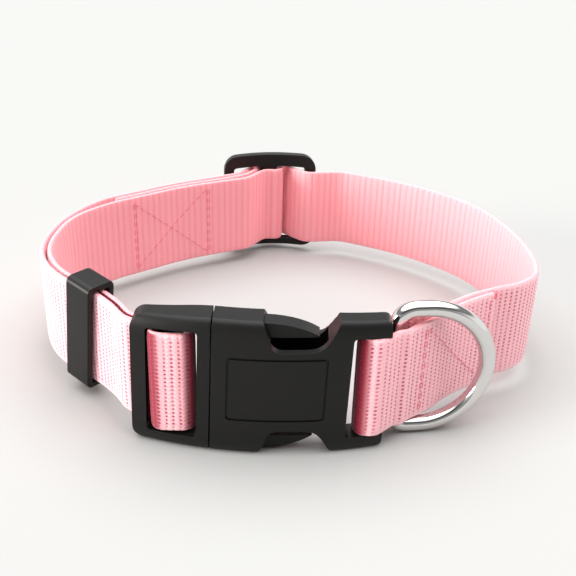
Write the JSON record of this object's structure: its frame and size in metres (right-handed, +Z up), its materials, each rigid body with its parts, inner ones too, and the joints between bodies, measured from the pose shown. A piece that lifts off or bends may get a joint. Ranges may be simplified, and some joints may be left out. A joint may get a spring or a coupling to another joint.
{
  "type": "dog collar",
  "caption": "Adjustable webbing dog collar with a curved side-release buckle, a D-ring in a sewn pocket, a keeper loop and a slide adjuster.",
  "frame": {"origin": "on the surface that the collar stands on, under the middle of its box", "axes": "+Z up along the width of the webbing, buckle at -Y, slide adjuster at +Y, D-ring towards +X"},
  "size_m": [0.1254, 0.119, 0.0333],
  "materials": {
    "webbing": "woven webbing with small dots",
    "plastic": "moulded, fine satin texture",
    "ring": "polished plating on steel wire"
  },
  "bodies": {
    "root": {"strap": "webbing", "buckle_plug": "plastic", "buckle_socket": "plastic", "keeper_loop": "plastic", "slide_adjuster": "plastic"},
    "ring": {"d_ring": "ring"}
  },
  "joints": [
    {"name": "ring_swing", "type": "hinge", "parent": "root", "child": "ring", "pos_m": [0.02384, -0.04858, 0.01665], "axis": [0, 0, 1], "range_deg": [-80, 4]}
  ]
}
